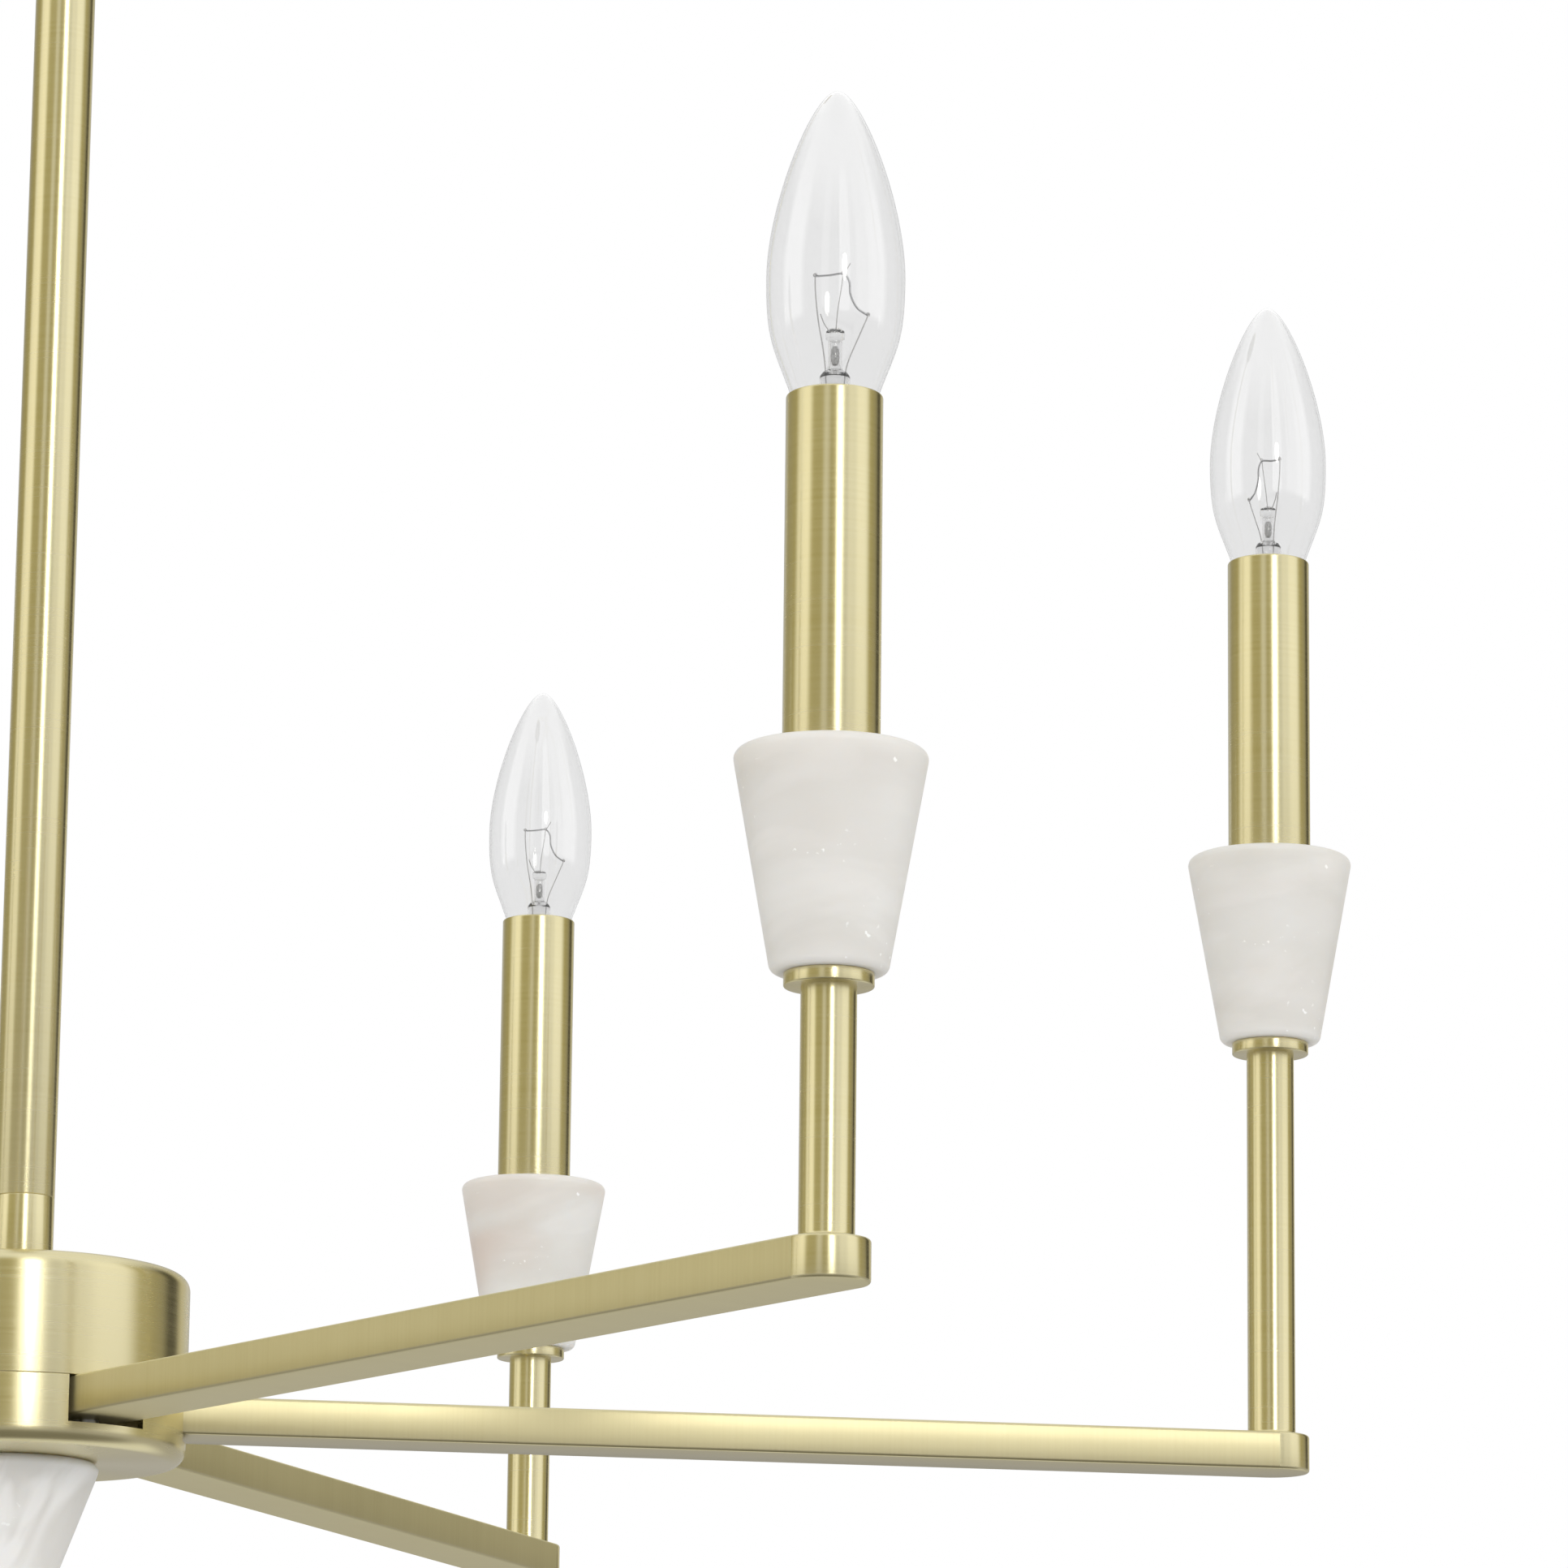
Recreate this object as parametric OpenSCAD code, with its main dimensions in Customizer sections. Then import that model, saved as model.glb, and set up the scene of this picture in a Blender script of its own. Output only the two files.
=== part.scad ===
// Six arm chandelier. A downrod hangs from a ceiling canopy on a hang-straight
// swivel and carries a round hub. Six flat arms leave the hub at 60 degrees, and
// each ends in a riser, a stone cup, a candle sleeve and a screw-in bulb. Every
// second riser is tall.
// Millimetres, +Z up. Origin: centre of the mounting strap's screw slots, in the
// ceiling plane. Arm 1 lies along +X.

/* [Arms] */
// Distance from the hub's axis to the axis of each candle
arm_reach = 333; // [300:1:360]
// Width of the flat arm bar
arm_w = 20; // [18:0.5:22]
// Height of the flat arm bar
arm_h = 10; // [9:0.5:12]
// Height of the short risers, arm to washer
short_riser_h = 57; // [40:1:80]
// Height of the tall risers, arm to washer
tall_riser_h = 103.5; // [85:0.5:140]
// Diameter of the riser tubes
riser_d = 12.7; // [12:0.1:14]

/* [Candles] */
// Top diameter of the stone cups
cup_top_d = 44.8; // [40:0.4:50]
// Bottom diameter of the stone cups
cup_bottom_d = 26.6; // [24:0.2:30]
// Height of the stone cups
cup_h = 51; // [40:1:60]
// Outer diameter of the candle sleeves
sleeve_d = 22.2; // [22:0.1:23]
// Height of the candle sleeves above the cups
sleeve_h = 83; // [75:1:100]

/* [Hub and finial] */
// Diameter of the hub
hub_d = 88; // [80:1:96]
// Height of the hub's upper drum
drum_h = 32; // [28:1:40]
// Height of the hub's lower collar
collar_h = 17.5; // [17:0.5:20]
// Top diameter of the stone finial
finial_d = 45; // [40:1:50]
// Height of the stone finial
finial_h = 42; // [34:1:44]

/* [Stem and canopy] */
// Diameter of the downrods
rod_d = 16; // [15:0.5:17]
// Length of the upper downrod
upper_rod_l = 152; // [100:1:305]
// Length of the lower downrod
lower_rod_l = 457; // [305:1:610]
// Diameter of the canopy
canopy_d = 127; // [124:1:140]
// Depth of the canopy
canopy_h = 25; // [24:1:30]

/* [Hidden] */
$fn = 64;

// Colours
BRASS = [0.78, 0.74, 0.56];
STONE = [0.88, 0.86, 0.84];
STEEL = [0.62, 0.63, 0.64];
GLASS = [0.9, 0.95, 1, 0.35];
PLASTIC = [0.16, 0.16, 0.17];
LEAD = [0.9, 0.88, 0.8];

// Threaded tube and its clearance hole, the same size all through the lamp
nipple_r = 5.1;
nipple_bore_r = 3.5;
nipple_hole_r = 5.2;
nut_flats = 14;
nut_h = 3;
arm_count = 6;
arm_step = 60;

// Arms
arm_wall = 1.2;
arm_start = 24;
arm_screw_at = 33;
arm_screw_r = 1.7;
screw_hole_r = 1.8;
washer_d = 20.5;
washer_h = 3.2;
cup_edge = 2;

// Sleeve, socket and bulb; heights are measured down from the sleeve's top
sleeve_wall = 0.9;
socket_r = 9.3;
socket_bore_r = 6.3;
socket_top = 8;
socket_floor = 27;
socket_bottom = 38;
glass_r = 15.9;
glass_h = 73;
glass_widest = 28;
glass_wall = 0.9;
glass_neck = 7;
base_r = 5.95;
base_bottom = 26.5;

// Stem and swivel, heights below the ceiling
canopy_wall = 1.6;
canopy_edge = 8;
canopy_hole_r = 5.7;
yoke_gap = 0.5;
yoke_flange_r = 13;
yoke_r = 11;
yoke_bore_r = 5.17;
pin_z = -42;
pin_r = 2.5;
pin_clearance = 0.06;
ear_r = 7.5;
tongue_r = 7.2;
tongue_half = 4;
slot_half = 4.3;
knuckle_top = -52;
knuckle_bottom = -62;
rod_bore_r = 6.8;
rod_plug_l = 14;
rod_chamfer = 0.4;
coupler_h = 20;
upper_rod_bottom = knuckle_bottom - upper_rod_l;
lower_rod_bottom = upper_rod_bottom - lower_rod_l;
hub_top = lower_rod_bottom - coupler_h;

// Hub
hub_wall = 2.5;
hub_floor = 3;
hub_edge = 4;
collar_seam = hub_top - drum_h;
arm_z = collar_seam - arm_h / 2;
hub_bottom = collar_seam - collar_h;
notch_w = 22.6;
notch_h = 12;
plate_r = 39;
plate_h = 3;
lead_hole_at = 16;
lead_side = 4.5;
lead_hole_r = 2;
lead_r = 1.3;
supply_r = 1.8;
ring_gap = 4;
ring_h = 8;
ring_in = 12;
ring_out = 20;
window_w = 4.4;
window_h = 8;

// Finial and its nut
stud_r = 3;
stud_hole_r = 3.2;
finial_bottom_r = 7;
finial_nut_h = 9;
finial_bottom = hub_bottom - finial_h;

// Crossbar and canopy fasteners
strap_t = 2;
strap_w = 22;
strap_drop = 8;
strap_half = 36;
strap_end = 54;
slot_spacing = 88.9;
slot_l = 12;
slot_r = 2.4;
canopy_screw_at = 26;
canopy_screw_r = 2;
canopy_screw_end = -31;
knob_r = 5;
knob_h = 9;

// Rounds corner b of the path a, b, c with an arc of radius r in n steps
function unit(v) = v / norm(v);
function corner_arc(a, b, c, r, n) =
    let (
        u = unit(a - b),
        v = unit(c - b),
        half = acos(u * v) / 2,
        start = b + u * r / tan(half),
        end = b + v * r / tan(half),
        mid = b + unit(u + v) * r / sin(half),
        a0 = atan2(start.y - mid.y, start.x - mid.x),
        a1 = atan2(end.y - mid.y, end.x - mid.x),
        turn = (a1 - a0 + 540) % 360 - 180
    )
    [for (i = [0:n]) mid + r * [cos(a0 + turn * i / n), sin(a0 + turn * i / n)]];

// Outline through points p with a radius for each corner; 0 leaves it sharp
function rounded(p, radii, n = 6) =
    [for (i = [0:len(p) - 1])
        each radii[i] > 0
            ? corner_arc(p[(i + len(p) - 1) % len(p)], p[i], p[(i + 1) % len(p)], radii[i], n)
            : [p[i]]];

function bezier(a, b, c, d, n) =
    [for (i = [0:n]) let (t = i / n, s = 1 - t)
        s * s * s * a + 3 * s * s * t * b + 3 * s * t * t * c + t * t * t * d];

// Half outline of the bulb glass, radius and height above the sleeve's top
glass_outline = concat(
    [[0, -glass_neck], [6, -glass_neck], [7.6, -4]],
    bezier([9.9, 0], [14.1, 12], [glass_r, 13], [glass_r, glass_widest], 9),
    bezier([glass_r, glass_widest], [glass_r, 45.5], [5.6, glass_h], [0, glass_h], 14)
);

function is_tall(i) = i % 2 == 1;
function riser_h(i) = is_tall(i) ? tall_riser_h : short_riser_h;
function washer_z(i) = arm_z + arm_h / 2 + riser_h(i);
function cup_z(i) = washer_z(i) + washer_h;
function sleeve_z(i) = cup_z(i) + cup_h;
function sleeve_top(i) = sleeve_z(i) + sleeve_h;

module on_arm(i) {
    rotate([0, 0, (i - 1) * arm_step]) children();
}

module at_candle(i, z) {
    on_arm(i) translate([arm_reach, 0, z]) children();
}

module ring(h, r_out, r_in) {
    difference() {
        cylinder(h = h, r = r_out);
        translate([0, 0, -1]) cylinder(h = h + 2, r = r_in);
    }
}

module hex_nut(flats, h, hole_r) {
    difference() {
        cylinder(h = h, r = flats / 2 / cos(30), $fn = 6);
        translate([0, 0, -1]) cylinder(h = h + 2, r = hole_r, $fn = 64);
    }
}

module arm_bar(grow, z0, h) {
    translate([0, 0, z0]) linear_extrude(height = h) {
        translate([arm_start - 1, -arm_w / 2 - grow]) square([arm_reach - arm_start + 1, arm_w + 2 * grow]);
        translate([arm_reach, 0]) circle(r = arm_w / 2 + grow);
    }
}

module arm(i) {
    on_arm(i) color(BRASS) difference() {
        arm_bar(0, arm_z - arm_h / 2, arm_h);
        arm_bar(-arm_wall, arm_z - arm_h / 2 + arm_wall, arm_h - 2 * arm_wall);
        translate([arm_start - 2, -arm_w, arm_z - arm_h]) cube([2, 2 * arm_w, 2 * arm_h]);
        translate([arm_reach, 0, arm_z]) cylinder(h = arm_h, r = nipple_hole_r);
        translate([arm_screw_at, 0, arm_z - arm_h]) cylinder(h = 2 * arm_h, r = screw_hole_r);
    }
}

module riser(i) {
    at_candle(i, arm_z + arm_h / 2) color(BRASS) ring(riser_h(i), riser_d / 2, nipple_hole_r);
}

module cup_washer(i) {
    at_candle(i, washer_z(i)) color(BRASS) ring(washer_h, washer_d / 2, nipple_hole_r);
}

module cup(i) {
    at_candle(i, cup_z(i)) color(STONE) rotate_extrude() polygon(rounded(
        [[nipple_hole_r, 0], [cup_bottom_d / 2, 0], [cup_top_d / 2, cup_h], [nipple_hole_r, cup_h]],
        [0, cup_edge, cup_edge, 0]));
}

module sleeve(i) {
    at_candle(i, sleeve_z(i)) color(BRASS) rotate_extrude() polygon(rounded(
        [[sleeve_d / 2 - sleeve_wall, 0], [sleeve_d / 2, 0], [sleeve_d / 2, sleeve_h],
            [sleeve_d / 2 - sleeve_wall, sleeve_h]],
        [0, 0, sleeve_wall / 2 - 0.05, sleeve_wall / 2 - 0.05], 3));
}

module lamp_socket(i) {
    at_candle(i, sleeve_top(i)) color(PLASTIC) difference() {
        translate([0, 0, -socket_bottom]) cylinder(h = socket_bottom - socket_top, r = socket_r);
        translate([0, 0, -socket_floor]) cylinder(h = socket_floor, r = socket_bore_r);
    }
}

module bulb_glass(i) {
    total = glass_h + glass_neck;
    inner_r = (glass_r - glass_wall) / glass_r;
    inner_h = (total - 2 * glass_wall) / total;
    at_candle(i, sleeve_top(i)) color(GLASS) rotate_extrude() difference() {
        polygon(glass_outline);
        polygon([for (p = glass_outline)
            [p.x * inner_r, (p.y + glass_neck) * inner_h + glass_wall - glass_neck]]);
    }
}

module bulb_base(i) {
    shell_bottom = -base_bottom + 4.5;
    at_candle(i, sleeve_top(i)) color(STEEL) rotate_extrude() polygon([
        [0, -base_bottom], [2.5, -base_bottom], [2.5, -base_bottom + 1], [base_r - 1, shell_bottom],
        [base_r, shell_bottom], [base_r, -glass_neck], [0, -glass_neck]]);
}

module socket_post(i) {
    bottom = arm_z + 0.5;
    at_candle(i, bottom) color(STEEL)
        ring(sleeve_top(i) - socket_bottom - bottom, nipple_r, nipple_bore_r);
}

module post_nut_pair(i) {
    for (z = [arm_z + arm_h / 2 - arm_wall - nut_h, sleeve_z(i)])
        at_candle(i, z) color(STEEL) hex_nut(nut_flats, nut_h, nipple_r + 0.05);
}

module hub_drum() {
    inner_r = hub_d / 2 - hub_wall;
    color(BRASS) translate([0, 0, collar_seam]) rotate_extrude() polygon(rounded(
        [[inner_r, 0], [hub_d / 2, 0], [hub_d / 2, drum_h], [nipple_hole_r, drum_h],
            [nipple_hole_r, drum_h - hub_floor], [inner_r, drum_h - hub_floor]],
        [0, 0, hub_edge, 0, 0, hub_edge - hub_wall]));
}

module hub_collar() {
    inner_r = hub_d / 2 - hub_wall;
    color(BRASS) difference() {
        translate([0, 0, hub_bottom]) rotate_extrude() polygon(rounded(
            [[nipple_hole_r, 0], [hub_d / 2, 0], [hub_d / 2, collar_h], [inner_r, collar_h],
                [inner_r, hub_floor], [nipple_hole_r, hub_floor]],
            [0, hub_edge, 0, 0, hub_edge - hub_wall, 0]));
        for (i = [1:arm_count])
            on_arm(i) translate([inner_r - 5, -notch_w / 2, collar_seam - notch_h])
                cube([20, notch_w, notch_h + 1]);
    }
}

module arm_plate() {
    color(STEEL) translate([0, 0, collar_seam]) difference() {
        ring(plate_h, plate_r, nipple_hole_r);
        for (i = [1:arm_count]) {
            on_arm(i) translate([arm_screw_at, 0, -1]) cylinder(h = plate_h + 2, r = screw_hole_r);
            on_arm(i) translate([lead_hole_at, lead_side, -1]) cylinder(h = plate_h + 2, r = lead_hole_r);
        }
    }
}

module arm_screw(i) {
    on_arm(i) translate([arm_screw_at, 0, arm_z - arm_h / 2]) color(STEEL) {
        translate([0, 0, -1.8]) cylinder(h = 1.8, r = 3.4);
        cylinder(h = arm_h + plate_h, r = arm_screw_r);
    }
}

module centre_rod() {
    top = lower_rod_bottom + rod_plug_l - 1;
    stud_top = hub_bottom + hub_floor;
    window_z = collar_seam + plate_h + ring_gap + ring_h;
    color(STEEL) {
        difference() {
            translate([0, 0, hub_bottom]) cylinder(h = top - hub_bottom, r = nipple_r);
            translate([0, 0, stud_top]) cylinder(h = top - stud_top + 1, r = nipple_bore_r);
            translate([0, -window_w / 2, window_z]) cube([nipple_r + 1, window_w, window_h]);
        }
        translate([0, 0, finial_bottom - 6]) cylinder(h = hub_bottom - finial_bottom + 6, r = stud_r);
    }
}

module centre_nuts() {
    for (z = [hub_top - hub_floor - nut_h, collar_seam + plate_h, collar_seam - nut_h])
        translate([0, 0, z]) color(STEEL) hex_nut(nut_flats + 2, nut_h, nipple_r + 0.05);
}

module terminal_ring() {
    color(PLASTIC) translate([0, 0, collar_seam + plate_h + ring_gap]) ring(ring_h, ring_out, ring_in);
}

// A round lead through the given points
module lead(points, r) {
    for (k = [1:len(points) - 1]) {
        run = points[k] - points[k - 1];
        translate(points[k - 1])
            rotate([0, acos(run.z / norm(run)), atan2(run.y, run.x)]) cylinder(h = norm(run), r = r);
    }
    for (k = [1:len(points) - 2]) translate(points[k]) sphere(r = r);
}

module arm_lead(i) {
    low = arm_z - 1.4;
    on_arm(i) color(LEAD) lead([
        [lead_hole_at, lead_side, collar_seam + plate_h + ring_gap],
        [lead_hole_at, lead_side, low],
        [arm_reach, lead_side, low],
        [arm_reach, 0, low],
        [arm_reach, 0, sleeve_top(i) - socket_bottom]], lead_r);
}

module supply_lead() {
    ring_top = collar_seam + plate_h + ring_gap + ring_h;
    color(LEAD) lead([
        [lead_hole_at, 0, ring_top],
        [lead_hole_at, 0, ring_top + window_h / 2],
        [0, 0, ring_top + window_h / 2],
        [0, 0, knuckle_bottom - 2]], supply_r);
}

module stem_coupler() {
    color(BRASS) translate([0, 0, hub_top]) rotate_extrude() polygon([
        [nipple_hole_r, 0], [rod_d / 2, 0], [rod_d / 2, coupler_h - rod_chamfer],
        [rod_d / 2 - rod_chamfer, coupler_h], [nipple_hole_r, coupler_h]]);
}

// Tube with a threaded plug in each end
module downrod(bottom, length) {
    r = rod_d / 2;
    color(BRASS) translate([0, 0, bottom]) rotate_extrude() polygon([
        [nipple_hole_r, 0], [r - rod_chamfer, 0], [r, rod_chamfer], [r, length - rod_chamfer],
        [r - rod_chamfer, length], [nipple_hole_r, length], [nipple_hole_r, length - rod_plug_l],
        [rod_bore_r, length - rod_plug_l], [rod_bore_r, rod_plug_l], [nipple_hole_r, rod_plug_l]]);
}

module rod_nipples() {
    top_reach = 7;
    inset = 1;
    color(STEEL) {
        translate([0, 0, knuckle_bottom - rod_plug_l + inset])
            ring(rod_plug_l - inset + top_reach, nipple_r, nipple_bore_r);
        translate([0, 0, upper_rod_bottom - rod_plug_l + inset])
            ring(2 * (rod_plug_l - inset), nipple_r, nipple_bore_r);
    }
}

module swivel_knuckle() {
    color(BRASS) difference() {
        union() {
            translate([0, 0, knuckle_bottom]) cylinder(h = knuckle_top - knuckle_bottom, r = rod_d / 2);
            translate([0, 0, pin_z]) rotate([0, 90, 0])
                cylinder(h = 2 * tongue_half, r = tongue_r, center = true);
            translate([-tongue_half, -tongue_r + 1, knuckle_top - 1])
                cube([2 * tongue_half, 2 * tongue_r - 2, pin_z - knuckle_top + 1]);
        }
        translate([0, 0, pin_z]) rotate([0, 90, 0])
            cylinder(h = rod_d, r = pin_r + pin_clearance, center = true);
        translate([0, 0, knuckle_bottom - 1]) cylinder(h = 9, r = nipple_hole_r);
    }
}

module swivel_pin() {
    color(STEEL) translate([0, 0, pin_z]) rotate([0, 90, 0])
        cylinder(h = 2 * yoke_r - 1, r = pin_r, center = true);
}

module swivel_yoke() {
    flange_top = -canopy_h - yoke_gap;
    slot_top = pin_z + 9;
    color(BRASS) difference() {
        union() {
            translate([0, 0, flange_top - 2]) cylinder(h = 2, r = yoke_flange_r);
            intersection() {
                translate([0, 0, pin_z - ear_r]) cylinder(h = flange_top - pin_z + ear_r - 1, r = yoke_r);
                union() {
                    translate([0, 0, pin_z]) rotate([0, 90, 0])
                        cylinder(h = 3 * yoke_r, r = ear_r, center = true);
                    translate([-yoke_r, -ear_r, pin_z]) cube([2 * yoke_r, 2 * ear_r, slot_top - pin_z]);
                    translate([-yoke_r, -yoke_r, slot_top]) cube([2 * yoke_r, 2 * yoke_r, 20]);
                }
            }
        }
        translate([-slot_half, -yoke_r - 1, pin_z - yoke_r])
            cube([2 * slot_half, 2 * yoke_r + 2, slot_top - pin_z + yoke_r]);
        translate([0, 0, slot_top - 1]) cylinder(h = 20, r = yoke_bore_r);
        translate([0, 0, pin_z]) rotate([0, 90, 0]) cylinder(h = 3 * yoke_r, r = pin_r, center = true);
    }
}

module canopy() {
    r = canopy_d / 2;
    inner_r = r - canopy_wall;
    color(BRASS) difference() {
        translate([0, 0, -canopy_h]) rotate_extrude() polygon(rounded(
            [[canopy_hole_r, 0], [r, 0], [r, canopy_h], [inner_r, canopy_h],
                [inner_r, canopy_wall], [canopy_hole_r, canopy_wall]],
            [0, canopy_edge, 0, 0, canopy_edge - canopy_wall, 0]));
        for (side = [-1, 1])
            translate([side * canopy_screw_at, 0, -canopy_h - 1])
                cylinder(h = canopy_wall + 2, r = canopy_screw_r + 0.3);
    }
}

module canopy_screws() {
    head_z = -strap_drop;
    for (side = [-1, 1]) translate([side * canopy_screw_at, 0, 0]) color(STEEL) {
        translate([0, 0, head_z]) cylinder(h = 2.5, r = 4);
        translate([0, 0, canopy_screw_end]) cylinder(h = head_z - canopy_screw_end, r = canopy_screw_r);
    }
}

module canopy_knobs() {
    for (side = [-1, 1]) translate([side * canopy_screw_at, 0, -canopy_h - knob_h]) color(BRASS)
        difference() {
            rotate_extrude() polygon(rounded(
                [[0, 0], [knob_r, 0], [knob_r, knob_h - 1.5], [knob_r - 1.5, knob_h], [0, knob_h]],
                [0, knob_r - 0.6, 1.2, 0.4, 0]));
            translate([0, 0, canopy_screw_end + canopy_h + knob_h - 0.5])
                cylinder(h = knob_h, r = canopy_screw_r + 0.05);
        }
}

// Offset strap: its ends lie on the outlet box, its middle hangs below
module crossbar() {
    color(STEEL) difference() {
        union() {
            translate([-strap_half, -strap_w / 2, -strap_drop - strap_t])
                cube([2 * strap_half, strap_w, strap_t]);
            for (turn = [0, 180]) rotate([0, 0, turn]) {
                translate([strap_half - strap_t, -strap_w / 2, -strap_drop - strap_t])
                    cube([strap_t, strap_w, strap_drop + strap_t]);
                translate([strap_half - strap_t, -strap_w / 2, -strap_t])
                    cube([strap_end - strap_half + strap_t, strap_w, strap_t]);
            }
        }
        translate([0, 0, -strap_drop - strap_t - 1]) cylinder(h = strap_t + 2, r = nipple_hole_r);
        for (side = [-1, 1]) {
            translate([side * canopy_screw_at, 0, -strap_drop - strap_t - 1])
                cylinder(h = strap_t + 2, r = canopy_screw_r + 0.1);
            translate([side * slot_spacing / 2, 0, -strap_t - 1]) linear_extrude(height = strap_t + 2) {
                square([slot_l - 2 * slot_r, 2 * slot_r], center = true);
                for (end = [-1, 1]) translate([end * (slot_l / 2 - slot_r), 0]) circle(r = slot_r);
            }
        }
    }
}

module crossbar_nipple() {
    bottom = pin_z + 9.5;
    color(STEEL) translate([0, 0, bottom]) ring(-3 - bottom, nipple_r, nipple_bore_r);
}

module nipple_nuts() {
    for (z = [-strap_drop, -strap_drop - strap_t - nut_h])
        translate([0, 0, z]) color(STEEL) hex_nut(nut_flats, nut_h, nipple_r + 0.05);
}

module finial_stone() {
    color(STONE) translate([0, 0, finial_bottom]) rotate_extrude() polygon(rounded(
        [[stud_hole_r, 0], [finial_bottom_r, 0], [finial_d / 2, finial_h], [stud_hole_r, finial_h]],
        [0, 1, cup_edge, 0]));
}

module finial_nut() {
    color(BRASS) translate([0, 0, finial_bottom - finial_nut_h]) difference() {
        rotate_extrude() polygon(rounded(
            [[0, 0], [5, 0], [5, finial_nut_h - 2], [finial_bottom_r, finial_nut_h - 2],
                [finial_bottom_r, finial_nut_h], [0, finial_nut_h]],
            [0, 4.4, 0, 0.6, 0.6, 0]));
        translate([0, 0, finial_nut_h - 6.5]) cylinder(h = 7.5, r = stud_r + 0.05);
    }
}

for (i = [1:arm_count]) {
    arm(i);
    cup(i);
    sleeve(i);
    bulb_glass(i);
    bulb_base(i);
}
for (i = [2, 4, 6]) riser(i);  // short_risers
for (i = [1, 3, 5]) riser(i);  // tall_risers
for (i = [1:arm_count]) cup_washer(i);  // cup_washers
for (i = [1:arm_count]) lamp_socket(i);  // lamp_sockets
for (i = [1:arm_count]) socket_post(i);  // socket_posts
for (i = [1:arm_count]) post_nut_pair(i);  // post_nuts
hub_drum();
hub_collar();
arm_plate();
for (i = [1:arm_count]) arm_screw(i);  // arm_screws
centre_rod();
centre_nuts();
terminal_ring();
for (i = [1:arm_count]) arm_lead(i);  // arm_leads
supply_lead();
stem_coupler();
downrod(lower_rod_bottom, lower_rod_l);  // lower_downrod
downrod(upper_rod_bottom, upper_rod_l);  // upper_downrod
rod_nipples();
swivel_knuckle();
swivel_pin();
swivel_yoke();
canopy();
canopy_screws();
canopy_knobs();
crossbar();
crossbar_nipple();
nipple_nuts();
finial_stone();
finial_nut();
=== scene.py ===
"""Six arm chandelier: detailed meshes, materials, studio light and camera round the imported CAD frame."""

import math

import bmesh
import bpy
from mathutils import Matrix, Vector


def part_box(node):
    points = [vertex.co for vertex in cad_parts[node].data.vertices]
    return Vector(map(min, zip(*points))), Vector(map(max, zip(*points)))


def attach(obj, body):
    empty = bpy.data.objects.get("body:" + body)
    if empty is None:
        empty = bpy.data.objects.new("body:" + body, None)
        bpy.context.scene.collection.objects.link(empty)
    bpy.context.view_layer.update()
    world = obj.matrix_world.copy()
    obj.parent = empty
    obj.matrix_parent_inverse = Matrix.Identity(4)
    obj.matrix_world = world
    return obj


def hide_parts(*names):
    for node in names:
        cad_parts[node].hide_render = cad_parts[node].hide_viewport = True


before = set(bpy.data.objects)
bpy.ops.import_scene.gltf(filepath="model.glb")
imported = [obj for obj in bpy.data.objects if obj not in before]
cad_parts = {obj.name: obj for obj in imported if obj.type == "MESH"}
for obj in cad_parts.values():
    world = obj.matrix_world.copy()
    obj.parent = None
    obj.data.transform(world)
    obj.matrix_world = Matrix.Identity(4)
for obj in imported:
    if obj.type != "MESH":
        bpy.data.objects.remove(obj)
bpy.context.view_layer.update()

MM = 0.001
ARMS = range(1, 7)
RING_STEPS = 96
FINE_RING_STEPS = 160
SHARP_ANGLE = math.radians(32)

# The camera, the studio and the bulbs' wires are all turned by this about the stem.
VIEW_TURN = math.radians(-8.615)


# ---------------------------------------------------------------- measures from the frame

def low(node):
    return Vector(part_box(node)[0])


def high(node):
    return Vector(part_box(node)[1])


def centre(node):
    return (low(node) + high(node)) / 2


HUB_R = (high("hub_drum").y - low("hub_drum").y) / 2
SEAM_Z = low("hub_drum").z
HUB_TOP = high("hub_drum").z
HUB_BOTTOM = low("hub_collar").z
ARM_Z = centre("arm_1").z
ARM_H = high("arm_1").z - low("arm_1").z
ARM_W = high("arm_1").y - low("arm_1").y
ARM_REACH = high("arm_1").x - ARM_W / 2
ARM_START = low("arm_1").x
SLEEVE_R = (high("sleeve_1").x - low("sleeve_1").x) / 2
RISER_R = 6.35 * MM
WASHER_R = 10.25 * MM
BORE_R = 5.2 * MM
ROD_R = (high("lower_downrod").x - low("lower_downrod").x) / 2


def arm_angle(i):
    return math.radians(60 * (i - 1))


def on_candle(i, z):
    """The point at height z on the axis of candle i."""
    return Vector((ARM_REACH * math.cos(arm_angle(i)), ARM_REACH * math.sin(arm_angle(i)), z))


# ---------------------------------------------------------------- node helpers

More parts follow.
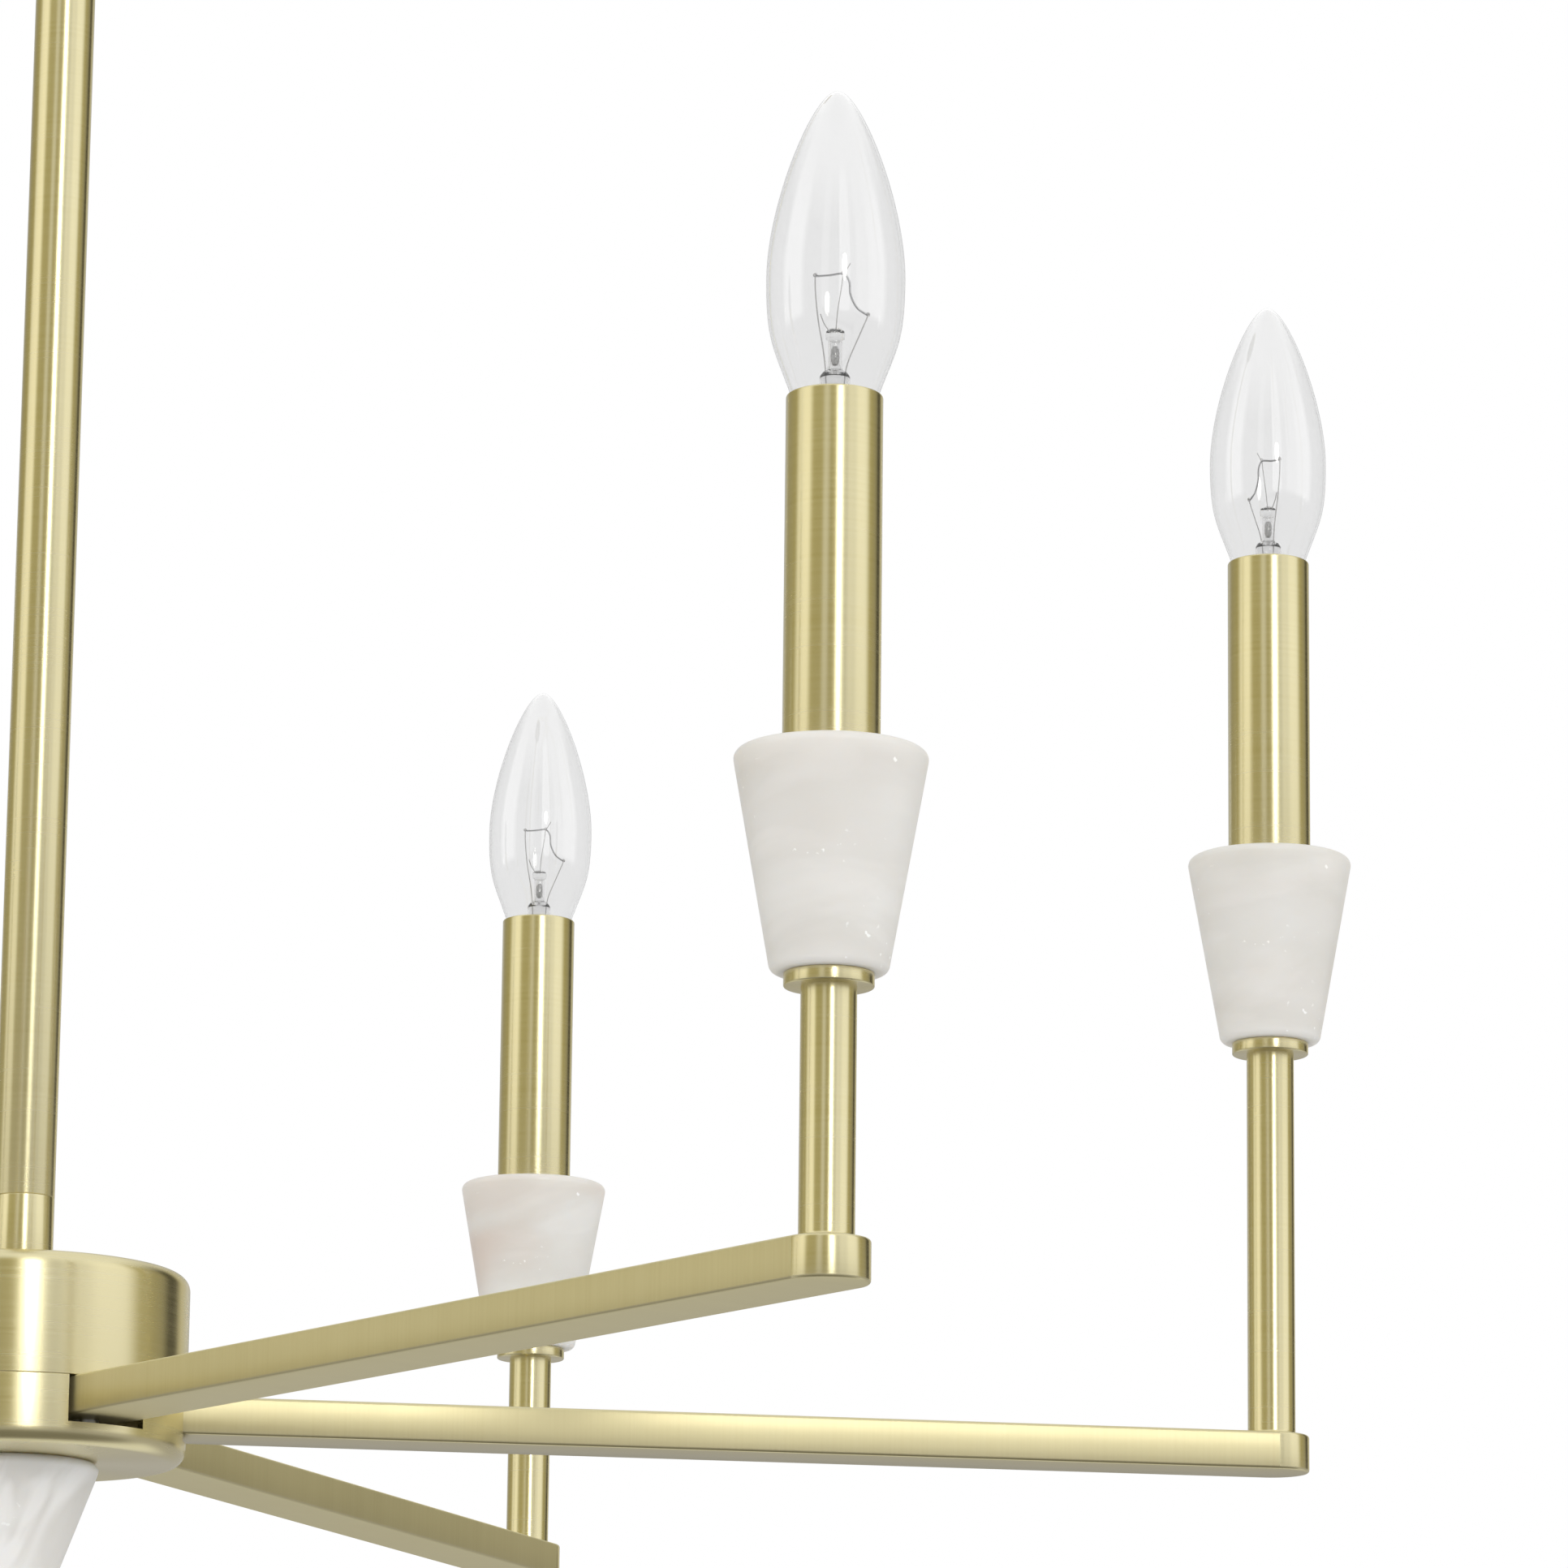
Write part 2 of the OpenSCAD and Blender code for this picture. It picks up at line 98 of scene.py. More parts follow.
class Nodes:
    """A material's node tree with short calls."""

    def __init__(self, tree):
        self.tree = tree
        self.tree.nodes.clear()

    def add(self, kind, **settings):
        node = self.tree.nodes.new(kind)
        for name, value in settings.items():
            setattr(node, name, value)
        return node

    def link(self, source, target):
        self.tree.links.new(source, target)

    def put(self, node, **values):
        for name, value in values.items():
            socket = node.inputs[name.replace("_", " ")]
            if isinstance(value, bpy.types.NodeSocket):
                self.link(value, socket)
            else:
                socket.default_value = value
        return node

    def noise(self, vector, scale, detail=3.0, roughness=0.5, distortion=0.0):
        node = self.add("ShaderNodeTexNoise")
        self.put(node, Vector=vector, Scale=scale, Detail=detail, Roughness=roughness, Distortion=distortion)
        return node.outputs["Fac"]

    def mapped(self, scale=(1, 1, 1), location=(0, 0, 0)):
        """The piece's own coordinates in metres, scaled and shifted."""
        coords = self.add("ShaderNodeTexCoord")
        mapping = self.add("ShaderNodeMapping")
        mapping.inputs["Scale"].default_value = scale
        mapping.inputs["Location"].default_value = location
        self.link(coords.outputs["Object"], mapping.inputs["Vector"])
        return mapping.outputs["Vector"]

    def ramp(self, factor, stops):
        """A straight blend through the given (place, colour) stops."""
        node = self.add("ShaderNodeValToRGB")
        elements = node.color_ramp.elements
        while len(elements) > 1:
            elements.remove(elements[-1])
        elements[0].position = stops[0][0]
        elements[0].color = (*stops[0][1], 1)
        for position, colour in stops[1:]:
            elements.new(position).color = (*colour, 1)
        self.link(factor, node.inputs["Fac"])
        return node.outputs["Color"]

    def fade(self, factor, start, end, to_low=0.0, to_high=1.0):
        """Runs from to_low to to_high as the factor goes from start to end."""
        node = self.add("ShaderNodeMapRange")
        node.inputs["From Min"].default_value = start
        node.inputs["From Max"].default_value = end
        node.inputs["To Min"].default_value = to_low
        node.inputs["To Max"].default_value = to_high
        self.link(factor, node.inputs["Value"])
        return node.outputs["Result"]

    def mix(self, factor, a, b):
        node = self.add("ShaderNodeMix", data_type="RGBA")
        for name, value in (("Factor", factor), ("A", a), ("B", b)):
            socket = [s for s in node.inputs if s.name == name and s.enabled][0]
            if isinstance(value, bpy.types.NodeSocket):
                self.link(value, socket)
            elif name == "Factor":
                socket.default_value = value
            else:
                socket.default_value = (*value, 1)
        return [s for s in node.outputs if s.enabled][0]

    def math(self, operation, a, b):
        node = self.add("ShaderNodeMath", operation=operation)
        for socket, value in zip(node.inputs, (a, b)):
            if isinstance(value, bpy.types.NodeSocket):
                self.link(value, socket)
            else:
                socket.default_value = value
        return node.outputs[0]

    def bump(self, height, distance, strength):
        node = self.add("ShaderNodeBump")
        node.inputs["Strength"].default_value = strength
        node.inputs["Distance"].default_value = distance
        self.link(height, node.inputs["Height"])
        return node.outputs["Normal"]


def new_material(name):
    material = bpy.data.materials.new(name)
    material.use_nodes = True
    nodes = Nodes(material.node_tree)
    shader = nodes.add("ShaderNodeBsdfPrincipled")
    out = nodes.add("ShaderNodeOutputMaterial")
    nodes.link(shader.outputs[0], out.inputs["Surface"])
    return material, nodes, shader


# ---------------------------------------------------------------- materials

BRASS_LIGHT = (0.81, 0.745, 0.475)
BRASS_DEEP = (0.76, 0.69, 0.42)
BRASS_CLOUD = (0.79, 0.715, 0.445)
BAND_TO_LINE = 0.16
BRUSH_DEPTH = 0.004 * MM


def brushed_brass(name, grain, roughness, anisotropy, axis, painted_shade=1.0):
    """Satin brass brushed round the given axis of its piece, so that its highlights stretch along that axis.

    grain is the noise scale along x, y and z: a high value packs the brush lines across that direction.
    The last argument darkens all of the colours alike, as painted shade: it makes a darker copy of the same
    brass."""
    material, nodes, shader = new_material(name)
    lines = nodes.noise(nodes.mapped(grain), scale=1.0, detail=1.0)
    band_grain = [value * BAND_TO_LINE for value in grain]
    bands = nodes.noise(nodes.mapped(band_grain, (3, 1, 2)), scale=1.0, detail=2.0)
    clouds = nodes.noise(nodes.mapped(), scale=24.0)
    streaks = nodes.math("ADD", nodes.math("MULTIPLY", lines, 0.6), nodes.math("MULTIPLY", bands, 0.4))
    # Painted shade: every brass tone is scaled down alike by the last argument.
    deep, light, cloud = ([painted_shade * channel for channel in tone]
                          for tone in (BRASS_DEEP, BRASS_LIGHT, BRASS_CLOUD))
    tone = nodes.mix(nodes.fade(streaks, 0.3, 0.7), deep, light)
    colour = nodes.mix(nodes.fade(clouds, 0.3, 0.7, 0.0, 0.3), tone, cloud)
    rough = nodes.math("ADD", nodes.fade(streaks, 0.3, 0.7, roughness - 0.025, roughness + 0.025),
                       nodes.fade(clouds, 0.2, 0.8, -0.015, 0.015))
    normal = nodes.bump(streaks, BRUSH_DEPTH, 0.08)
    tangent = nodes.add("ShaderNodeTangent", direction_type="RADIAL", axis=axis)
    nodes.put(shader, Base_Color=colour, Metallic=1.0, Roughness=rough, Normal=normal)
    nodes.link(tangent.outputs[0], shader.inputs["Tangent"])
    shader.inputs["Anisotropic"].default_value = anisotropy
    shader.inputs["Anisotropic Rotation"].default_value = 0.25
    return material


# A larger scale along the last axis flattens the clouds into layers.
LAYER_SCALE = (0.8, 0.8, 2.2)
STONE_TONES = [(0.32, (0.715, 0.700, 0.665)), (0.48, (0.755, 0.742, 0.715)),
               (0.62, (0.785, 0.775, 0.755)), (0.8, (0.75, 0.74, 0.71))]
VEIN_WHITE = (0.92, 0.915, 0.91)
STAIN_PINK = (0.66, 0.565, 0.51)
PIT_WHITE = (0.93, 0.93, 0.92)
DENT_DEPTH = 0.12 * MM


def veined_stone(name, lightness, veins, stain, lean):
    """Pale stone in cloudy layers, different in each piece.

    lean tips the layers from level; veins and stain say how strongly each shows."""
    material, nodes, shader = new_material(name)
    info = nodes.add("ShaderNodeObjectInfo")
    coords = nodes.add("ShaderNodeTexCoord")
    tipped = nodes.add("ShaderNodeVectorRotate", rotation_type="Y_AXIS")
    nodes.link(coords.outputs["Object"], tipped.inputs["Vector"])
    tipped.inputs["Angle"].default_value = lean
    layered = nodes.add("ShaderNodeVectorMath", operation="MULTIPLY")
    nodes.link(tipped.outputs[0], layered.inputs[0])
    layered.inputs[1].default_value = LAYER_SCALE
    spread = nodes.add("ShaderNodeCombineXYZ")
    nodes.link(info.outputs["Random"], spread.inputs["X"])
    nodes.link(info.outputs["Random"], spread.inputs["Z"])
    shift = nodes.add("ShaderNodeVectorMath", operation="ADD")
    nodes.link(layered.outputs[0], shift.inputs[0])
    nodes.link(spread.outputs[0], shift.inputs[1])
    in_layers = shift.outputs[0]
    clouds = nodes.noise(in_layers, scale=22.0, detail=5.0, distortion=0.5)
    wisps = nodes.noise(in_layers, scale=30.0, distortion=0.9)
    stains = nodes.noise(in_layers, scale=15.0, detail=2.0, distortion=0.4)
    body = nodes.ramp(clouds, [(at, [lightness * channel for channel in tone]) for at, tone in STONE_TONES])
    veined = nodes.mix(nodes.fade(wisps, 0.46, 0.60, 0.0, veins), body, VEIN_WHITE)
    tinted = nodes.mix(nodes.fade(stains, 0.40, 0.60, 0.0, stain), veined, STAIN_PINK)
    pits = nodes.noise(coords.outputs["Object"], scale=520.0, detail=2.0, roughness=0.4)
    patches = nodes.noise(coords.outputs["Object"], scale=75.0, detail=2.0)
    marks = nodes.math("MULTIPLY", nodes.fade(pits, 0.68, 0.74), nodes.fade(patches, 0.55, 0.62))
    colour = nodes.mix(marks, tinted, PIT_WHITE)
    rough = nodes.fade(clouds, 0.3, 0.7, 0.31, 0.44)
    dent = nodes.math("SUBTRACT", nodes.math("MULTIPLY", wisps, 0.4), nodes.math("MULTIPLY", marks, 0.3))
    nodes.put(shader, Base_Color=colour, Roughness=rough, Normal=nodes.bump(dent, DENT_DEPTH, 0.35))
    shader.inputs["Subsurface Weight"].default_value = 0.5
    shader.inputs["Subsurface Radius"].default_value = (1.0, 0.85, 0.7)
    shader.inputs["Subsurface Scale"].default_value = 9 * MM
    shader.inputs["IOR"].default_value = 1.48
    return material


def clear_glass(name, tint, painted_edge_shade):
    """Glass whose colour darkens where it is seen edge-on: painted shade standing in for the dark rims that
    reflection and refraction give.
    """
    material, nodes, shader = new_material(name)
    ripples = nodes.noise(nodes.mapped((1, 1, 0.4)), scale=60.0, detail=2.0, roughness=0.4)
    facing = nodes.add("ShaderNodeLayerWeight")
    facing.inputs["Blend"].default_value = 0.5
    # Painted shade: towards the silhouette the glass's colour turns to the darker edge tone.
    edge = nodes.fade(facing.outputs["Facing"], 0.76, 0.96)
    wavy = nodes.mix(nodes.fade(ripples, 0.3, 0.7), (tint,) * 3, (tint * 0.985,) * 3)
    colour = nodes.mix(edge, wavy, (painted_edge_shade,) * 3)
    nodes.put(shader, Base_Color=colour)
    shader.inputs["Roughness"].default_value = 0.0
    shader.inputs["IOR"].default_value = 1.52
    shader.inputs["Specular IOR Level"].default_value = 0.9
    shader.inputs["Transmission Weight"].default_value = 1.0
    return material


def plain_metal(name, dark, light, roughness):
    material, nodes, shader = new_material(name)
    grain = nodes.noise(nodes.mapped(), scale=900.0, roughness=0.6)
    clouds = nodes.noise(nodes.mapped(), scale=70.0)
    colour = nodes.mix(nodes.fade(clouds, 0.35, 0.65), dark, light)
    rough = nodes.fade(grain, 0.3, 0.7, roughness - 0.06, roughness + 0.06)
    normal = nodes.bump(grain, 0.03 * MM, 0.3)
    nodes.put(shader, Base_Color=colour, Metallic=1.0, Roughness=rough, Normal=normal)
    return material


def moulded(name, dark, light, roughness):
    material, nodes, shader = new_material(name)
    grain = nodes.noise(nodes.mapped(), scale=600.0, roughness=0.6)
    clouds = nodes.noise(nodes.mapped(), scale=50.0)
    colour = nodes.mix(nodes.fade(clouds, 0.35, 0.65), dark, light)
    rough = nodes.fade(grain, 0.3, 0.7, roughness - 0.05, roughness + 0.08)
    nodes.put(shader, Base_Color=colour, Roughness=rough, Normal=nodes.bump(grain, 0.05 * MM, 0.4))
    return material


TURNED = brushed_brass("turned_brass", (14, 14, 1200), 0.26, 0.8, "Z")
# The arms' brass is the turned brass's colours darkened by 0.92: painted shade, not a different metal.
BAR = brushed_brass("bar_brass", (1200, 20, 20), 0.38, 0.85, "X", 0.92)
STONE = veined_stone("veined_stone", 0.93, 0.16, 0.08, math.radians(8))
BLUSH_STONE = veined_stone("blush_stone", 0.95, 0.2, 0.8, math.radians(12))
STREAKED_STONE = veined_stone("streaked_stone", 0.97, 0.85, 0.1, math.radians(62))
GLASS = clear_glass("clear_glass", 0.905, 0.56)
MOUNT_GLASS = clear_glass("mount_glass", 0.9, 0.6)
STEEL = plain_metal("zinc_steel", (0.50, 0.51, 0.52), (0.64, 0.65, 0.66), 0.34)
PLATED = plain_metal("plated_base", (0.66, 0.66, 0.67), (0.78, 0.78, 0.78), 0.24)
WIRE = plain_metal("lead_wire", (0.50, 0.50, 0.49), (0.62, 0.61, 0.60), 0.3)
TUNGSTEN = plain_metal("tungsten", (0.44, 0.44, 0.45), (0.54, 0.54, 0.55), 0.35)
PHENOLIC = moulded("moulded_phenolic", (0.014, 0.014, 0.015), (0.028, 0.027, 0.027), 0.45)
INSULATION = moulded("lead_insulation", (0.66, 0.63, 0.54), (0.75, 0.72, 0.64), 0.5)


# ---------------------------------------------------------------- mesh helpers

def rounded(points, radii, steps=6):
    """A closed outline with an arc of the given radius at each corner; 0 leaves it sharp."""
    path = []
    count = len(points)
    for i, radius in enumerate(radii):
        corner = Vector(points[i])
        if radius <= 0:
            path.append(corner)
            continue
        back = (Vector(points[i - 1]) - corner).normalized()
        ahead = (Vector(points[(i + 1) % count]) - corner).normalized()
        half = back.angle(ahead) / 2
        middle = corner + (back + ahead).normalized() * radius / math.sin(half)
        start = corner + back * radius / math.tan(half) - middle
        end = corner + ahead * radius / math.tan(half) - middle
        first = math.atan2(start.y, start.x)
        turn = (math.atan2(end.y, end.x) - first + 3 * math.pi) % (2 * math.pi) - math.pi
        for k in range(steps + 1):
            angle = first + turn * k / steps
            path.append(middle + radius * Vector((math.cos(angle), math.sin(angle))))
    return path


def bezier(a, b, c, d, steps):
    """Points along a curve from a to d, pulled towards b and c."""
    points = []
    for k in range(steps + 1):
        t = k / steps
        s = 1 - t
        points.append(s ** 3 * Vector(a) + 3 * s * s * t * Vector(b)
                      + 3 * s * t * t * Vector(c) + t ** 3 * Vector(d))
    return points


def finish_mesh(name, mesh_builder, material, at=(0, 0, 0), turn=0.0):
    """Turns a bmesh into a smooth-shaded object with crisp edges."""
    bmesh.ops.recalc_face_normals(mesh_builder, faces=mesh_builder.faces)
    mesh = bpy.data.meshes.new(name)
    mesh_builder.to_mesh(mesh)
    mesh_builder.free()
    mesh.polygons.foreach_set("use_smooth", [True] * len(mesh.polygons))
    mesh.set_sharp_from_angle(angle=SHARP_ANGLE)
    obj = bpy.data.objects.new(name, mesh)
    bpy.context.scene.collection.objects.link(obj)
    obj.location = at
    obj.rotation_euler = (0, 0, turn)
    mesh.materials.append(material)
    return obj


def bake_modifiers(obj):
    """Applies an object's modifiers to its mesh and restores smooth shading."""
    depsgraph = bpy.context.evaluated_depsgraph_get()
    baked = bpy.data.meshes.new_from_object(obj.evaluated_get(depsgraph))
    obj.modifiers.clear()
    obj.data = baked
    baked.polygons.foreach_set("use_smooth", [True] * len(baked.polygons))
    baked.set_sharp_from_angle(angle=SHARP_ANGLE)


ON_AXIS = 0.0001 * MM


def lathe_into(mesh_builder, outline, steps, is_loop):
    """Adds a surface of revolution. A loop outline closes on itself; an open one doesn't."""
    rings = []
    for radius, z in outline:
        if radius < ON_AXIS:
            rings.append([mesh_builder.verts.new((0, 0, z))])
            continue
        rings.append([mesh_builder.verts.new((radius * math.cos(2 * math.pi * k / steps),
                                              radius * math.sin(2 * math.pi * k / steps), z))
                      for k in range(steps)])
    last = len(rings) if is_loop else len(rings) - 1
    for i in range(last):
        a = rings[i]
        b = rings[(i + 1) % len(rings)]
        for k in range(steps):
            nxt = (k + 1) % steps
            if len(a) == 1 and len(b) == 1:
                continue
            if len(a) == 1:
                mesh_builder.faces.new((a[0], b[k], b[nxt]))
            elif len(b) == 1:
                mesh_builder.faces.new((a[k], a[nxt], b[0]))
            else:
                mesh_builder.faces.new((a[k], a[nxt], b[nxt], b[k]))


def lathe(name, outline, material, at=(0, 0, 0), steps=RING_STEPS, is_loop=True, turn=0.0):
    mesh_builder = bmesh.new()
    lathe_into(mesh_builder, outline, steps, is_loop)
    return finish_mesh(name, mesh_builder, material, at, turn)


def sweep_into(mesh_builder, points, radius, sides):
    """Adds a round tube along the points, with closed ends."""
    path = [Vector(p) for p in points]
    side = Vector((0.0, 1.0, 0.2)).normalized()
    rings = []
    for i, point in enumerate(path):
        along = (path[min(i + 1, len(path) - 1)] - path[max(i - 1, 0)]).normalized()
        side = (side - along * side.dot(along)).normalized()
        other = along.cross(side)
        rings.append([mesh_builder.verts.new(point + radius * (math.cos(a) * side + math.sin(a) * other))
                      for a in (2 * math.pi * k / sides for k in range(sides))])
    for a, b in zip(rings, rings[1:]):
        for k in range(sides):
            mesh_builder.faces.new((a[k], a[(k + 1) % sides], b[(k + 1) % sides], b[k]))
    mesh_builder.faces.new(rings[0][::-1])
    mesh_builder.faces.new(rings[-1])


def smooth_path(points, steps=8):
    """A curve through the points."""
    pts = [Vector(p) for p in points]
    pts = [2 * pts[0] - pts[1]] + pts + [2 * pts[-1] - pts[-2]]
    path = []
    for i in range(1, len(pts) - 2):
        p0, p1, p2, p3 = pts[i - 1:i + 3]
        for k in range(steps):
            t = k / steps
            path.append(0.5 * (2 * p1 + (p2 - p0) * t + (2 * p0 - 5 * p1 + 4 * p2 - p3) * t * t
                               + (3 * p1 - p0 - 3 * p2 + p3) * t ** 3))
    path.append(pts[-2])
    return path


def place(piece, body, *nodes):
    """Makes a piece ride on a body and stand for the given CAD nodes."""
    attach(piece, body)
    if nodes:
        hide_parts(*nodes)


# ---------------------------------------------------------------- arms, risers and washers

ARM_EDGE = 0.8 * MM
FILLET = 1.1 * MM


def arm_outline(inset):
    half = ARM_W / 2 - inset
    points = [(ARM_START + inset, -half)]
    steps = 40
    for k in range(steps + 1):
        angle = -math.pi / 2 + math.pi * k / steps
        points.append((ARM_REACH + half * math.cos(angle), half * math.sin(angle)))
    points.append((ARM_START + inset, half))
    return points


def make_arm(i):
    mesh_builder = bmesh.new()
    edge_steps = 4
    levels = []
    for k in range(edge_steps + 1):
        angle = math.pi / 2 * k / edge_steps
        levels.append((ARM_EDGE * (1 - math.sin(angle)), -ARM_H / 2 + ARM_EDGE * (1 - math.cos(angle))))
    levels += [(inset, -z) for inset, z in reversed(levels)]
    rings = [[mesh_builder.verts.new((x, y, z)) for x, y in arm_outline(inset)] for inset, z in levels]
    for a, b in zip(rings, rings[1:]):
        for k in range(len(a)):
            nxt = (k + 1) % len(a)
            mesh_builder.faces.new((a[k], a[nxt], b[nxt], b[k]))
    mesh_builder.faces.new(rings[0][::-1])
    mesh_builder.faces.new(rings[-1])
    arm = finish_mesh(f"arm_bar_{i}", mesh_builder, BAR, (0, 0, ARM_Z), arm_angle(i))
    arm.data.materials.append(TURNED)
    for face in arm.data.polygons:
        if face.center.x > ARM_REACH and abs(face.normal.z) < 0.7:
            face.material_index = 1
    place(arm, "fixture", f"arm_{i}")


def riser_outline(height):
    """Tube wall with a small fillet where it meets the arm."""
    steps = 6
    outer = [Vector((RISER_R + FILLET, 0))]
    for k in range(1, steps + 1):
        angle = math.pi / 2 * k / steps
        outer.append(Vector((RISER_R + FILLET * (1 - math.sin(angle)), FILLET * (1 - math.cos(angle)))))
    return [Vector((BORE_R, 0))] + outer + [Vector((RISER_R, height)), Vector((BORE_R, height))]


def make_risers():
    for kind, numbers in (("short_risers", (2, 4, 6)), ("tall_risers", (1, 3, 5))):
        bottom = low(kind).z
        height = high(kind).z - bottom
        for i in numbers:
            riser = lathe(f"riser_{i}", riser_outline(height), TURNED, on_candle(i, bottom), 64)
            place(riser, "fixture", kind)


def make_washer(i):
    thickness = 3.2 * MM
    edge = 0.35 * MM
    outline = rounded([(BORE_R, 0), (WASHER_R, 0), (WASHER_R, thickness), (BORE_R, thickness)],
                      [0, edge, edge, 0], 4)
    bottom = low(f"cup_{i}").z - thickness
    washer = lathe(f"washer_{i}", outline, TURNED, on_candle(i, bottom))
    place(washer, "fixture", "cup_washers")


# ---------------------------------------------------------------- cups and sleeves

CUP_TOP_R = 22.4 * MM
CUP_BOTTOM_R = 13.3 * MM
CUP_EDGE = 2 * MM
BLUSH_CUPS = (2, 5)


def make_cup(i):
    height = high(f"cup_{i}").z - low(f"cup_{i}").z
    outline = rounded([(BORE_R, 0), (CUP_BOTTOM_R, 0), (CUP_TOP_R, height), (BORE_R, height)],
                      [0, CUP_EDGE, CUP_EDGE, 0], 10)
    stone = BLUSH_STONE if i in BLUSH_CUPS else STONE
    cup = lathe(f"stone_cup_{i}", outline, stone, on_candle(i, low(f"cup_{i}").z))
    place(cup, "fixture", f"cup_{i}")


def make_sleeve(i):
    height = high(f"sleeve_{i}").z - low(f"sleeve_{i}").z
    wall = 0.9 * MM
    inner = SLEEVE_R - wall
    outline = rounded([(inner, 0), (SLEEVE_R, 0), (SLEEVE_R, height), (inner, height)],
                      [0, 0.25 * MM, 0.55 * MM, 0.3 * MM], 5)
    sleeve = lathe(f"candle_sleeve_{i}", outline, TURNED, on_candle(i, low(f"sleeve_{i}").z))
    place(sleeve, "fixture", f"sleeve_{i}")


# ---------------------------------------------------------------- bulbs

GLASS_R = (high("bulb_glass_1").x - low("bulb_glass_1").x) / 2
GLASS_H = 73 * MM
NECK_DROP = 7 * MM
GLASS_WALL = 0.45 * MM


def glass_profile():
    """Outer outline of the glass from its neck to its tip; z = 0 is the sleeve's rim."""
    points = [Vector((6.0 * MM, -NECK_DROP)), Vector((7.6 * MM, -4 * MM))]
    points += bezier((9.9 * MM, 0), (14.1 * MM, 12 * MM), (GLASS_R, 13 * MM), (GLASS_R, 28 * MM), 16)
    points += bezier((GLASS_R, 28 * MM), (GLASS_R, 45.5 * MM), (5.6 * MM, GLASS_H), (0, GLASS_H), 30)[1:]
    return points


def inward(points, wall):
    """The same outline moved in by the wall's thickness."""
    moved = []
    for k, point in enumerate(points):
        along = points[min(k + 1, len(points) - 1)] - points[max(k - 1, 0)]
        normal = Vector((-along.y, along.x)).normalized()
        moved.append(Vector((max(point.x + wall * normal.x, 0), point.y + wall * normal.y)))
    moved[-1] = Vector((0, points[-1].y - wall))
    return moved


def make_glass(i, rim):
    outer = glass_profile()
    inner = inward(outer, GLASS_WALL)
    mesh_builder = bmesh.new()
    lathe_into(mesh_builder, outer, FINE_RING_STEPS, False)
    lathe_into(mesh_builder, inner, FINE_RING_STEPS, False)
    neck_edges = [e for e in mesh_builder.edges if e.is_boundary]
    bmesh.ops.bridge_loops(mesh_builder, edges=neck_edges)
    glass = finish_mesh(f"bulb_envelope_{i}", mesh_builder, GLASS, rim)
    place(glass, f"bulb_{i}", f"bulb_glass_{i}")


def in_mm(points):
    return [Vector(point) * MM for point in points]


def make_mount(i, rim, turn):
    """Hollow flared foot and stem tube with a solid glass button on top; radii and heights in millimetres."""
    outside = [(5.3, -6.4), (4.9, -3), (4.1, 0), (3.5, 2.4), (3.5, 4.6), (2.9, 5.6), (1.9, 6.2), (1.6, 7.4),
               (1.6, 13.0)]
    inside = [(1.05, 13.0), (1.05, 7.4), (1.4, 5.7), (2.45, 5.0), (3.0, 4.2), (3.0, 2.5), (3.6, 0.2),
              (4.4, -2.8), (4.8, -6.4)]
    button = [(0, 13.1), (1.5, 13.2), (2.1, 13.7), (2.25, 14.6), (2.1, 15.4), (1.5, 15.9), (0, 16.0)]
    mesh_builder = bmesh.new()
    lathe_into(mesh_builder, in_mm(outside + inside), 40, True)
    lathe_into(mesh_builder, in_mm(button), 40, False)
    mount = finish_mesh(f"bulb_mount_{i}", mesh_builder, MOUNT_GLASS, rim, turn)
    place(mount, f"bulb_{i}")


# The wires' routes are in millimetres from the centre of the sleeve's rim.
LEFT_HOOK = (-4.7, 0.0, 28.6)
MIDDLE_HOOK = (1.7, 0.6, 29.4)
RIGHT_HOOK = (7.4, 0.0, 19.4)


def hook(end, side):
    """A small eye at the end of a support wire."""
    x, y, z = end
    return [(x + side * 0.35, y, z + 0.25), (x + side * 0.1, y + 0.3, z + 0.7),
            (x - side * 0.35, y + 0.15, z + 0.45), (x - side * 0.3, y - 0.1, z - 0.1)]


def make_wires(i, rim, turn):
    """The two lead wires, the middle support and two short ends; each route has its wire's radius."""
    routes = [
        ([(-1.9, 0, 1.0), (-2.1, 0, 5.5), (-2.7, 0.1, 11), (-3.9, 0.1, 18), (-4.6, 0, 24.5), LEFT_HOOK]
         + hook(LEFT_HOOK, 1), 0.16),
        ([(2.1, 0, 1.0), (2.3, 0, 5.2), (3.2, 0, 9.0), (5.4, 0, 14.4), RIGHT_HOOK]
         + hook(RIGHT_HOOK, -1), 0.16),
        ([(0.1, 0, 15.0), (0.5, 0.3, 20.5), (1.3, 0.5, 26), MIDDLE_HOOK] + hook(MIDDLE_HOOK, 1), 0.12),
        ([(-0.2, 0, 15.2), (-1.2, -0.2, 15.4), (-2.6, -0.1, 17.4), (-3.4, 0, 19.6)], 0.13),
        ([(3.3, 0.8, 32.0), (2.3, 0.7, 30.2), MIDDLE_HOOK], 0.13),
    ]
    mesh_builder = bmesh.new()
    for points, radius in routes:
        path = [p * MM for p in smooth_path(points)]
        sweep_into(mesh_builder, path, radius * MM, 8)
    wires = finish_mesh(f"support_wires_{i}", mesh_builder, WIRE, rim, turn)
    place(wires, f"bulb_{i}")


